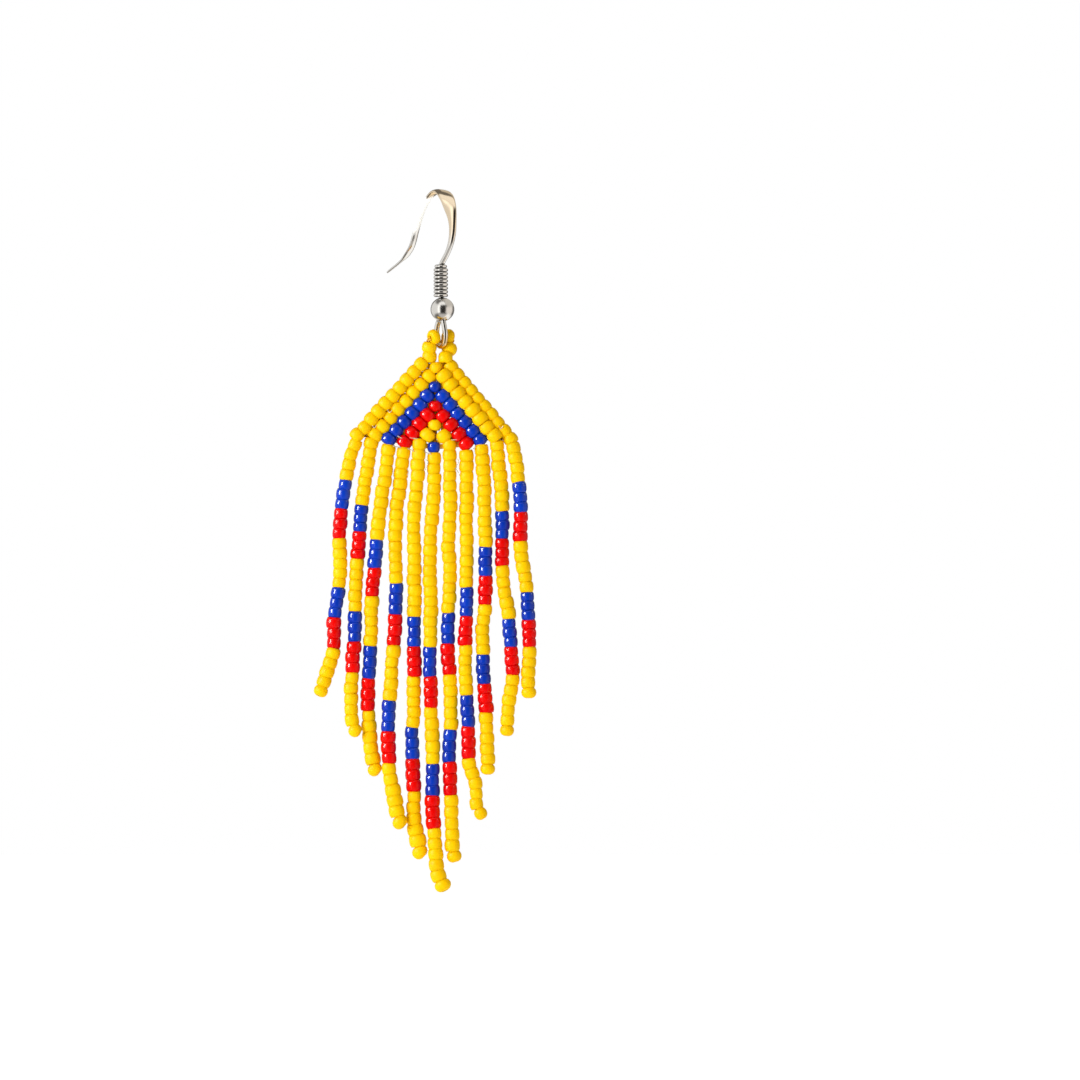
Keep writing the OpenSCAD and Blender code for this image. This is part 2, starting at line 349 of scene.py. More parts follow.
@dataclass(frozen=True)
class OpaqueGlass:
    """Opaque soda glass of a seed bead: drawn as a tube, chopped and tumbled, so it is glossy but never flat.

    It shows full colour with a small soft highlight, and no two beads have quite the same depth of colour.
    """

    name: str
    pale: str
    deep: str
    roughness: float
    gloss_level: float
    glow_through: float = 0.0
    glow_reach_mm: float = 0.8
    gloss_spread: tuple[float, float] = (0.8, 1.25)
    ripple_mm: float = 0.8
    ripple_depth_mm: float = 0.004

    def make(self) -> Material:
        """Returns the material."""
        material, tree, shader = start_material(self.name)
        where = add_node(tree, "ShaderNodeTexCoord")
        grain = {"Scale": 1 / (self.ripple_mm * MM), "Detail": 2.0}
        cloud = add_node(tree, "ShaderNodeTexNoise", grain, {"Vector": where.outputs["Object"]})
        tone = add_node(tree, "ShaderNodeAttribute", attribute_name=TONE)
        shades = {6: linear(self.deep), 7: linear(self.pale)}
        colour = add_node(tree, "ShaderNodeMix", shades, {0: tone.outputs["Fac"]}, **COLOUR)
        least, most = self.gloss_spread
        span = {"To Min": self.roughness * least, "To Max": self.roughness * most}
        gloss = add_node(tree, "ShaderNodeMapRange", span, {"Value": cloud})
        relief = {"Strength": 0.6, "Distance": self.ripple_depth_mm * MM}
        ripple = add_node(tree, "ShaderNodeBump", relief, {"Height": cloud})
        body = {
            "IOR": 1.52,
            "Specular IOR Level": self.gloss_level,
            "Subsurface Weight": self.glow_through,
            "Subsurface Scale": self.glow_reach_mm * MM,
            "Subsurface Radius": linear(self.pale)[:3],
        }
        feed(shader, body, {"Base Color": colour.outputs[2], "Roughness": gloss, "Normal": ripple})
        return material


@dataclass(frozen=True)
class PolishedSteel:
    """Drawn stainless wire, tumbled bright: mirror-like, with faint lines along the draw.

    Over the flattened arch the steel takes a beige tint, strongest on the inside of the bend, and the bend of
    its
    lower loop takes one too: a painted reflection of beige surroundings. The back leg is painted white, a
    painted highlight where light washes it out, and made matt.
    Between the turns of a coil the wire is darkened, painted shade where the turns hide each other. Heights,
    and places behind the origin, are where a look starts and where it is full, but the back leg's are its two
    sides.
    The lines of the draw are too fine to show, so about a dozen coarser ones are drawn round the wire.
    """

    name: str
    roughness: float = 0.09
    cool: str = "#E6E4E0"
    # Painted reflection: this beige stands for beige surroundings mirrored in the steel.
    beige_reflection: str = "#ECCF9F"
    # Painted highlight: the back leg is made white, as light washes it out.
    washed_out_white: str = "#FFFFFF"
    # Painted shade: the dark colour in the grooves between the coil's turns.
    groove_shade: str = "#2A2520"
    # Where the painted beige reflection starts and is full; the back leg's foot is this start height.
    reflection_height_mm: tuple[float, float] = (-8.0, -4.5)
    reflection_behind_mm: tuple[float, float] = (2.5, 0.0)
    loop_reflection_height_mm: tuple[float, float] = (-19.8, -21.4)
    leg_behind_mm: tuple[float, float] = (1.3, 4.8)
    leg_roughness: float = 0.6
    leg_metal: float = 0.25
    leg_edge: float = 0.7
    outside_reflection_share: float = 0.6
    # How much painted shade the grooves between turns get.
    groove_shade_share: float = 0.0
    gloss_spread: tuple[float, float] = (0.7, 1.5)
    line_depth_mm: float = 0.003
    line_stretch: tuple[float, float, float] = (14.0, 0.6, 1.0)

    def painted_beige_reflection(self, tree: Tree, axes: Node, turn: Node) -> Node:
        """Finds where the steel takes its painted beige reflection: on the arch and the front leg, and in the
        bend of the lower loop.

        Args:
            tree: the material's node tree.
            axes: the place on the object.
            turn: the angle round the wire.

        Returns:
            The share of the painted beige reflection.
        """
        outside = add_node(tree, "ShaderNodeMath", links={0: turn}, operation="SINE")
        span = {"From Min": 0.1, "From Max": -0.7, "To Min": self.outside_reflection_share, "To Max": 1.0}
        share = add_node(tree, "ShaderNodeMapRange", span, {"Value": outside})
        for axis, (start, full), operation in (
            ("Z", self.reflection_height_mm, "MULTIPLY"),
            ("Y", self.reflection_behind_mm, "MULTIPLY"),
            ("Z", self.loop_reflection_height_mm, "MAXIMUM"),
        ):
            span = {"From Min": start * MM, "From Max": full * MM}
            ramp = add_node(tree, "ShaderNodeMapRange", span, {"Value": axes.outputs[axis]}, **SMOOTH)
            share = add_node(tree, "ShaderNodeMath", links={0: share, 1: ramp}, operation=operation)
        return share

    def back_leg(self, tree: Tree, axes: Node) -> Node:
        """Finds the back leg, which is painted white as a painted highlight.

        Args:
            tree: the material's node tree.
            axes: the place on the object.

        Returns:
            1 on the leg and 0 off it, with soft ends.
        """
        near, far = self.leg_behind_mm
        middle, half = (near + far) / 2 * MM, (far - near) / 2 * MM
        off = add_node(tree, "ShaderNodeMath", {1: middle}, {0: axes.outputs["Y"]}, operation="SUBTRACT")
        away = add_node(tree, "ShaderNodeMath", links={0: off}, operation="ABSOLUTE")
        span = {"From Min": half, "From Max": half * self.leg_edge}
        inside = add_node(tree, "ShaderNodeMapRange", span, {"Value": away}, **SMOOTH)
        foot = {1: self.reflection_height_mm[0] * MM}
        above = add_node(tree, "ShaderNodeMath", foot, {0: axes.outputs["Z"]}, operation="GREATER_THAN")
        return add_node(tree, "ShaderNodeMath", links={0: inside, 1: above}, operation="MULTIPLY")

    def painted_groove_shade(self, tree: Tree, turn: Node) -> Node:
        """Finds where painted shade darkens the grooves between a coil's turns.

        Args:
            tree: the material's node tree.
            turn: the angle round the wire.

        Returns:
            The share of the painted shade in the grooves.
        """
        steep = turn
        for operation in ("COSINE", "ABSOLUTE"):
            steep = add_node(tree, "ShaderNodeMath", links={0: steep}, operation=operation)
        span = {"From Min": 0.5, "From Max": 0.88, "To Max": self.groove_shade_share}
        return add_node(tree, "ShaderNodeMapRange", span, {"Value": steep}, **SMOOTH)

    def make(self) -> Material:
        """Returns the material."""
        material, tree, shader = start_material(self.name)
        where = add_node(tree, "ShaderNodeTexCoord")
        axes = add_node(tree, "ShaderNodeSeparateXYZ", links={0: where.outputs["Object"]})
        way = add_node(tree, "ShaderNodeSeparateXYZ", links={0: where.outputs["UV"]})
        full_turn = {1: 2 * math.pi}
        turn = add_node(tree, "ShaderNodeMath", full_turn, {0: way.outputs["X"]}, operation="MULTIPLY")
        leg = self.back_leg(tree, axes)
        under = {}
        for code, share in (
            # Painted reflection: beige over the arch, the front leg and the lower loop's bend.
            (self.beige_reflection, self.painted_beige_reflection(tree, axes, turn)),
            # Painted highlight: the back leg made white.
            (self.washed_out_white, leg),
            # Painted shade in the grooves between the coil's turns.
            (self.groove_shade, self.painted_groove_shade(tree, turn)),
        ):
            ends = {6: linear(self.cool), 7: linear(code)}
            layer = add_node(tree, "ShaderNodeMix", ends, {0: share, **under}, **COLOUR)
            under = {6: layer.outputs[2]}
        along = {"Vector": where.outputs["UV"]}
        drawn = add_node(tree, "ShaderNodeMapping", {"Scale": self.line_stretch}, along)
        lines = add_node(tree, "ShaderNodeTexNoise", {"Scale": 1.0, "Detail": 3.0}, {"Vector": drawn})
        least, most = self.gloss_spread
        span = {"To Min": self.roughness * least, "To Max": self.roughness * most}
        gloss = add_node(tree, "ShaderNodeMapRange", span, {"Value": lines})
        matt = add_node(tree, "ShaderNodeMath", {1: self.leg_roughness}, {0: leg}, operation="MULTIPLY")
        gloss = add_node(tree, "ShaderNodeMath", links={0: gloss, 1: matt}, operation="MAXIMUM")
        span = {"To Min": 1.0, "To Max": self.leg_metal}
        metal = add_node(tree, "ShaderNodeMapRange", span, {"Value": leg})
        relief = {"Strength": 0.25, "Distance": self.line_depth_mm * MM}
        bump = add_node(tree, "ShaderNodeBump", relief, {"Height": lines})
        layers = {"Base Color": under[6], "Metallic": metal, "Roughness": gloss, "Normal": bump}
        feed(shader, links=layers)
        return material


@dataclass(frozen=True)
class NylonThread:
    """Fine nylon beading thread, clear and whitish, or coloured amber as painted shade between yellow beads,
    with a soft sheen and a slight twist.

    The twist is drawn coarser than it is, so that it shows.
    """

    name: str
    colour: str = "#EEEBDD"
    shade: str = "#CFC9B4"
    twist_mm: float = 0.5
    twist_depth_mm: float = 0.01
    clearness: float = 0.6

    def make(self) -> Material:
        """Returns the material."""
        material, tree, shader = start_material(self.name)
        where = add_node(tree, "ShaderNodeTexCoord")
        grain = {"Scale": 1 / (self.twist_mm * MM), "Detail": 1.0}
        twist = add_node(tree, "ShaderNodeTexNoise", grain, {"Vector": where.outputs["Object"]})
        shades = {6: linear(self.shade), 7: linear(self.colour)}
        colour = add_node(tree, "ShaderNodeMix", shades, {0: twist}, **COLOUR)
        relief = {"Strength": 0.3, "Distance": self.twist_depth_mm * MM}
        bump = add_node(tree, "ShaderNodeBump", relief, {"Height": twist})
        body = {"IOR": 1.53, "Roughness": 0.25, "Transmission Weight": self.clearness}
        feed(shader, body, {"Base Color": colour.outputs[2], "Normal": bump})
        return material


@dataclass(frozen=True)
class BacklitSheet:
    """White acrylic sheet lit from below, which gives a plain white ground."""

    name: str
    colour: str = "#F4F4F3"
    glow_colour: str = "#ECF0FF"
    glow: float = 0.72
    grain_mm: float = 4.0
    grain_depth_mm: float = 0.1

    def make(self) -> Material:
        """Returns the material."""
        material, tree, shader = start_material(self.name)
        where = add_node(tree, "ShaderNodeTexCoord")
        size = {"Scale": 1 / (self.grain_mm * MM)}
        grain = add_node(tree, "ShaderNodeTexNoise", size, {"Vector": where.outputs["Object"]})
        relief = {"Strength": 0.05, "Distance": self.grain_depth_mm * MM}
        bump = add_node(tree, "ShaderNodeBump", relief, {"Height": grain})
        body = {
            "Base Color": linear(self.colour),
            "Roughness": 0.6,
            "Emission Color": linear(self.glow_colour),
            "Emission Strength": self.glow,
        }
        feed(shader, body, {"Normal": bump})
        return material


@dataclass
class Palette:
    """The finishes of the earring."""

    beads: dict[Glass, Material]
    steel: Material
    coil_steel: Material
    ball_steel: Material
    thread: Material
    stitching: Material

    @classmethod
    def mix(cls) -> "Palette":
        """Makes every material, and returns the palette."""
        return cls(
            beads={
                Glass.YELLOW: OpaqueGlass("yellow_opaque_glass", "#F0BF00", "#ECB800", 0.4, 0.05, 0.1).make(),
                Glass.BLUE: OpaqueGlass("royal_blue_opaque_glass", "#0737B2", "#052C9E", 0.12, 0.24).make(),
                Glass.RED: OpaqueGlass("red_opaque_glass", "#DC0402", "#CE0301", 0.16, 0.14, 0.15).make(),
            },
            steel=PolishedSteel("polished_steel_wire").make(),
            # The coil takes the painted shade in the grooves between its turns.
            coil_steel=PolishedSteel("tumbled_steel_coil", groove_shade_share=0.85).make(),
            ball_steel=PolishedSteel("tumbled_steel_ball", roughness=0.2).make(),
            thread=NylonThread("clear_nylon_thread").make(),
            # Amber thread: painted shade, the dim amber seen between yellow beads.
            stitching=NylonThread("amber_shade_nylon_thread", "#E0A91C", "#B57A10", clearness=0.0).make(),
        )


@dataclass
class SeedBead:
    """One drawn, chopped and tumbled seed bead, modelled once and copied into every joined mesh.

    The profile gives the edges round its rim, from the outside to the mouth of the hole, as shares of its
    half width and half height.
    """

    widths: dict = field(default_factory=lambda: {Glass.YELLOW: 2.08, Glass.BLUE: 2.04, Glass.RED: 2.14})
    sides: int = 12
    profile: tuple = ((0.968, 0.56), (0.83, 1.0), (0.45, 0.92))
    points: np.ndarray | None = None
    faces: np.ndarray | None = None
    reach: float = 0.01

    def model(self) -> "SeedBead":
        """Shapes a bead 1 wide and 1 high from a ring, and keeps its points and faces.

        Returns:
            The bead itself.
        """
        start_fresh()
        mouth = self.profile[-1][0]
        middle, thick = (1 + mouth) / 4, (1 - mouth) / 4
        round_rim = 2 * len(self.profile) + 1
        bpy.ops.mesh.primitive_torus_add(
            major_segments=self.sides, minor_segments=round_rim, major_radius=middle, minor_radius=thick
        )
        ring = bpy.context.active_object
        bpy.ops.object.mode_set(mode="EDIT")
        for k, (out, up) in enumerate(self.profile, 1):
            turn = 2 * math.pi * k / round_rim
            radius, height = middle + thick * math.cos(turn), thick * math.sin(turn)
            edge = Vector((radius, height))
            select_vertices(
                ring, lambda co, edge=edge: (Vector((co.xy.length, abs(co.z))) - edge).length < self.reach
            )
            spread = out / 2 / radius
            bpy.ops.transform.resize(value=(spread, spread, up / 2 / height), center_override=(0, 0, 0))
        bpy.ops.object.mode_set(mode="OBJECT")
        self.points = np.array([v.co for v in ring.data.vertices], float)
        self.faces = np.array([list(p.vertices) for p in ring.data.polygons], int)
        bpy.data.objects.remove(ring)
        return self


@dataclass
class Beadwork:
    """Gathers threaded beads, each a little different and a little askew, and joins them into one mesh."""

    bead: SeedBead
    rng: np.random.Generator
    wobble_deg: float = 5.0
    stray: float = 0.08
    size_spread: float = 0.035
    most_spread: float = 0.06
    girth: float = 1.0
    points: list[np.ndarray] = field(default_factory=list)
    tones: list[float] = field(default_factory=list)
    glasses: list[Glass] = field(default_factory=list)

    def add(
        self, centre: Point, axis: Point, glass: Glass, height: float, shape: SeedBead | None = None
    ) -> None:
        """Threads one bead.

        Args:
            centre: its centre.
            axis: the way its hole runs.
            glass: its colour.
            height: its length along the hole.
            shape: its shape, if not the usual one.
        """
        tilt = math.radians(self.wobble_deg)
        way = unit(axis)
        runs_deep = abs(way[1]) >= 0.9
        helper = (1.0, 0.0, 0.0) if runs_deep else (0.0, 1.0, 0.0)
        first = unit(np.cross(helper, way))
        second = np.cross(way, first)
        nod = self.rng.normal(0, tilt / 2, 2).clip(-tilt, tilt)
        way = unit(way + nod[0] * first + nod[1] * second)
        turn = self.rng.uniform(0, 2 * math.pi)
        first = unit(math.cos(turn) * first + math.sin(turn) * second)
        first = unit(first - np.dot(first, way) * way)
        basis = np.array([first, np.cross(way, first), way])
        spread = float(np.clip(self.rng.normal(0, self.size_spread), -self.most_spread, self.most_spread))
        wide = self.bead.widths[glass] * (1 + spread) * self.girth
        scale = np.array([wide, wide, height])
        slip = self.rng.uniform(-self.stray, self.stray, 2)
        place = np.asarray(centre, float) + slip[0] * first + slip[1] * np.cross(way, first)
        self.points.append((shape or self.bead).points * scale @ basis + place)
        self.tones.append(float(self.rng.uniform(0, 1)))
        self.glasses.append(glass)

    def join(self, name: str, palette: Palette) -> Piece:
        """Joins the gathered beads.

        Args:
            name: the piece's name.
            palette: the finishes.

        Returns:
            The piece, in metres.
        """
        size = len(self.bead.points)
        shown = [g for g in Glass if g in self.glasses]
        faces = np.concatenate([self.bead.faces + i * size for i in range(len(self.points))])
        mesh = bpy.data.meshes.new(name)
        mesh.from_pydata((np.concatenate(self.points) * MM).tolist(), [], faces.tolist())
        for glass in shown:
            mesh.materials.append(palette.beads[glass])
        slots = np.repeat([shown.index(g) for g in self.glasses], len(self.bead.faces))
        mesh.polygons.foreach_set("material_index", slots.astype(np.int32))
        mesh.polygons.foreach_set("use_smooth", np.ones(len(faces), bool))
        tone = mesh.attributes.new(TONE, "FLOAT", "POINT")
        tone.data.foreach_set("value", np.repeat(self.tones, size).astype(np.float32))
        mesh.update()
        piece = bpy.data.objects.new(name, mesh)
        bpy.context.scene.collection.objects.link(piece)
        return piece


@dataclass
class EarHook:
    """The ear hook's wire: tail, flattened arch, leaning shank and lower loop, with its coil and ball."""

    turn_deg: float = 56.0
    wire: float = 0.75
    sides: int = 24
    steps: int = 8
    coil_forward: float = 0.72
    coil_outer: float = 2.07
    coil_end_outer: float = 1.8
    coil_wire: float = 0.5
    coil_rings: int = 9
    coil_top: float = -10.16
    coil_bottom: float = -14.8
    coil_sides: int = 12
    coil_steps: int = 28
    coil_short: float = 0.15
    coil_closing: float = 0.5
    ball: float = 3.4
    ball_sides: int = 64
    ball_rings: int = 40
    ball_forward: float = 1.14
    ball_height: float = -16.56
    ball_hole: float = 1.0
    ball_mouth_sunk: float = 0.997
    ball_lean_deg: float = 8.5

    def stations(self) -> list[tuple[float, float, float, float, float]]:
        """Returns the wire's stations from the tail to the end of the loop.

        Each is its forward place, its height, its width across the hook's plane, its thickness in it, and how
        many degrees its flattened face is turned towards the front.
        """
        w = self.wire
        return [
            (-13.3, -10.93, 0.24, 0.24, 0), (-12.6, -10.62, 0.34, 0.32, 0), (-11.2, -10.05, 0.36, 0.34, 0),
            (-9.9, -9.48, 0.38, 0.36, 0), (-9.1, -9.1, 0.60, 0.42, 0), (-8.5, -8.76, 0.88, 0.46, 0),
            (-7.8, -8.25, 1.02, 0.48, 0), (-7.0, -7.5, 1.04, 0.50, 0), (-6.4, -6.6, 1.00, 0.52, 0),
            (-5.85, -5.4, 0.98, 0.54, 0), (-5.1, -3.9, 0.98, 0.55, 0), (-4.2, -2.4, 1.00, 0.56, 0),
            (-3.2, -1.2, 1.08, 0.57, 0), (-2.2, -0.4, 1.20, 0.59, 0), (-1.1, 0.14, 1.45, 0.62, 0),
            (0.0, 0.33, 1.75, 0.66, 0), (0.9, 0.20, 1.88, 0.58, 10), (1.7, -0.20, 1.95, 0.52, 24),
            (2.4, -0.82, 1.96, 0.50, 37), (2.9, -1.6, 1.92, 0.50, 47), (3.3, -2.45, 1.74, 0.52, 53),
            (3.6, -3.4, 1.42, 0.56, 55), (3.78, -4.5, 1.14, 0.62, 55), (3.76, -5.6, 1.02, 0.66, 52),
            (3.5, -6.7, 0.91, 0.70, 44), (2.95, -7.8, 0.80, 0.74, 35), (2.2, -8.8, w, w, 0),
            (1.45, -9.55, w, w, 0), (0.85, -10.25, w, w, 0), (self.coil_forward, -11.1, w, w, 0),
            (self.coil_forward, -12.6, w, w, 0), (0.75, -14.4, w, w, 0), (1.12, -16.5, w, w, 0),
            (1.36, -18.2, w, w, 0), (1.62, -19.1, w, w, 0), (1.87, -20.2, w, w, 0),
            (1.6, -21.4, w, w, 0), (0.75, -21.86, w, w, 0), (-0.1, -21.4, w, w, 0),
            (-0.38, -20.2, w, w, 0), (-0.25, -19.0, w, w, 0), (0.2, -18.22, w, w, 0),
        ]  # fmt: skip

    def forward(self) -> np.ndarray:
        """Returns the hook's forward direction."""
        turn = math.radians(self.turn_deg)
        return np.array([math.cos(turn), -math.sin(turn), 0.0])

    def sideways(self) -> np.ndarray:
        """Returns the direction across the hook's plane."""
        turn = math.radians(self.turn_deg)
        return np.array([math.sin(turn), math.cos(turn), 0.0])

    def at(self, u: float, z: float) -> np.ndarray:
        """Returns the point u forward in the hook's plane at height z."""
        return u * self.forward() + np.array([0.0, 0.0, z])

    def wire_piece(self, steel: Material) -> Piece:
        """Models the wire.

        Args:
            steel: its finish.

        Returns:
            The piece.
        """
        rows = smooth_path(self.stations(), self.steps)
        path = np.array([self.at(u, z) for u, z in rows[:, :2]])
        bar = sweep(path, rows[:, 2], rows[:, 3], self.sideways(), self.sides, rows[:, 4])
        return bring_home(bar, "ear_hook_wire", steel)

    def coil_piece(self, steel: Material) -> Piece:
        """Models the close-wound coil: each turn lies level in front and climbs to the next at the back.

        The last turn stops a little short, and closes on the wire.

        Args:
            steel: its finish.

        Returns:
            The piece.
        """
        low = self.coil_bottom + self.coil_wire / 2
        pitch = (self.coil_top - self.coil_bottom - self.coil_wire) / (self.coil_rings - 1)
        turns = self.coil_rings - self.coil_short
        path = []
        for t in np.linspace(0, turns, round(turns * self.coil_steps) + 1):
            climb = 0 if t > self.coil_rings - 1 else max(t % 1 - 0.5, 0) * 2
            height = low + pitch * (math.floor(t) + climb**2 * (3 - 2 * climb))
            closing = (t - self.coil_rings + 1 + self.coil_closing) / self.coil_closing
            outer = float(np.interp(closing, (0, 1), (self.coil_outer, self.coil_end_outer)))
            turn = 2 * math.pi * t - math.pi
            arm = (outer - self.coil_wire) / 2 * np.array([math.cos(turn), math.sin(turn), 0])
            path.append(self.at(self.coil_forward, height) + arm)
        bar = line_of(np.array(path), self.coil_wire, (0, 0, 1), self.coil_sides)
        return bring_home(bar, "hook_coil_wound", steel)

    def ball_piece(self, steel: Material) -> Piece:
        """Models the ball, drilled along the wire that leans through it.

        Args:
            steel: its finish.

        Returns:
            The piece.
        """
        start_fresh()
        radius, hole = self.ball / 2, self.ball_hole / 2
        just_within, just_beyond = 0.98, 1.01
        bpy.ops.mesh.primitive_uv_sphere_add(
            segments=self.ball_sides, ring_count=self.ball_rings, radius=radius
        )
        ball = bpy.context.active_object
        bpy.ops.object.mode_set(mode="EDIT")
        select_vertices(ball, lambda co: math.hypot(co.x, co.y) < hole * just_within)
        bpy.ops.mesh.delete(type="VERT")
        rim = min(math.hypot(v.co.x, v.co.y) for v in bmesh.from_edit_mesh(ball.data).verts)
        select_vertices(ball, lambda co: math.hypot(co.x, co.y) < rim * just_beyond)
        bpy.ops.mesh.extrude_region_move()
        narrow = (hole / rim, hole / rim, self.ball_mouth_sunk)
        bpy.ops.transform.resize(value=narrow, center_override=(0, 0, 0))
        bpy.ops.mesh.bridge_edge_loops()
        bpy.ops.mesh.select_all(action="SELECT")
        bpy.ops.mesh.normals_make_consistent(inside=False)
        bpy.ops.object.mode_set(mode="OBJECT")
        lean = math.radians(self.ball_lean_deg)
        hole_way = Vector(self.at(-math.sin(lean), math.cos(lean)))
        ball.rotation_mode = "QUATERNION"
        ball.rotation_quaternion = Vector((0, 0, 1)).rotation_difference(hole_way)
        ball.location = Vector(self.at(self.ball_forward, self.ball_height))
        return bring_home(ball, "hook_ball_drilled", steel)

    def build(self, palette: Palette) -> None:
        """Builds the hook's three pieces and puts them on their body.

        Args:
            palette: the finishes.
        """
        mount(self.wire_piece(palette.steel), "hook", "polished_steel", "ear_hook")
        mount(self.coil_piece(palette.coil_steel), "hook", "polished_steel", "hook_coil")
        mount(self.ball_piece(palette.ball_steel), "hook", "polished_steel", "hook_ball")


@dataclass
class BeadLoop:
    """The loop of beads that hangs over the wire's lower loop, and its thread.

    Each place is a bead's centre, the way its hole runs, and its height.
    """

    girth: float = 1.07
    thread: float = 0.2
    sides: int = 8
    places: tuple = (
        (-1.24, -1.0, -21.98, 0.15, -0.1, 0.98, 1.62),
        (-0.6, -1.3, -20.5, 0.8, 0.54, 0.26, 1.36),
        (1.42, 0.26, -20.42, 0.8, 0.54, -0.26, 1.36),
        (1.62, 0.1, -22.2, -0.2, -0.4, -0.9, 1.64),
    )
    corners: tuple = (
        (-1.24, -0.8, -23.5), (-1.34, -0.9, -22.8), (-1.2, -1.06, -21.5), (-1.6, -1.46, -21.1),
        (-1.33, -1.8, -20.74), (0.13, -0.81, -20.26), (0.42, -0.62, -21.5), (0.69, -0.23, -20.18),
        (2.14, 0.75, -20.65), (2.26, 0.7, -21.1), (1.82, 0.46, -21.5), (1.47, -0.19, -22.84),
        (1.13, -0.8, -23.6),
    )  # fmt: skip
    corner_cut: float = 0.2
    steps: int = 3

    def path(self) -> np.ndarray:
        """Returns the thread's path, each corner cut once and then rounded."""
        c = np.asarray(self.corners, float)
        cut = [c[0]]
        for a, b in zip(c[:-1], c[1:]):
            cut += [a + (b - a) * self.corner_cut, b + (a - b) * self.corner_cut]
        return smooth_path([*cut, c[-1]], self.steps)

    def build(self, bead: SeedBead, palette: Palette, forward: np.ndarray) -> None:
        """Builds the beads and their thread.

        Args:
            bead: the bead to copy.
            palette: the finishes.
            forward: the hook's forward direction, which the thread never runs along.
        """
        rng = np.random.default_rng(SEED)
        work = Beadwork(bead, rng, wobble_deg=1.0, stray=0.0, size_spread=0.0, girth=self.girth)
        for x, y, z, *way, height in self.places:
            work.add((x, y, z), way, Glass.YELLOW, height)
        mount(work.join("loop_bead_set", palette), "drop", "yellow_beads", "loop_beads")
        line = line_of(self.path(), self.thread, forward, self.sides)
        # The loop's thread takes the amber painted shade.
        line = bring_home(line, "loop_thread_line", palette.stitching)
        mount(line, "drop", "clear_thread", "loop_thread")


@dataclass(frozen=True)
class PanelRow:
    """One sloping row of the panel: two arms of beads that meet on the middle line or end beside it.

    Each arm is its first bead's x and z, its last bead's x and z, and how many beads it has. The rows nest
    into each other, so each arm lies a little behind or in front of the panel's middle.
    """

    glass: Glass
    behind: tuple[float, float]
    left: tuple[float, float, float, float, int]
    right: tuple[float, float, float, float, int]

    @property
    def shared_top(self) -> bool:
        """Tells whether both arms start from the same bead."""
        return self.left[:2] == self.right[:2]


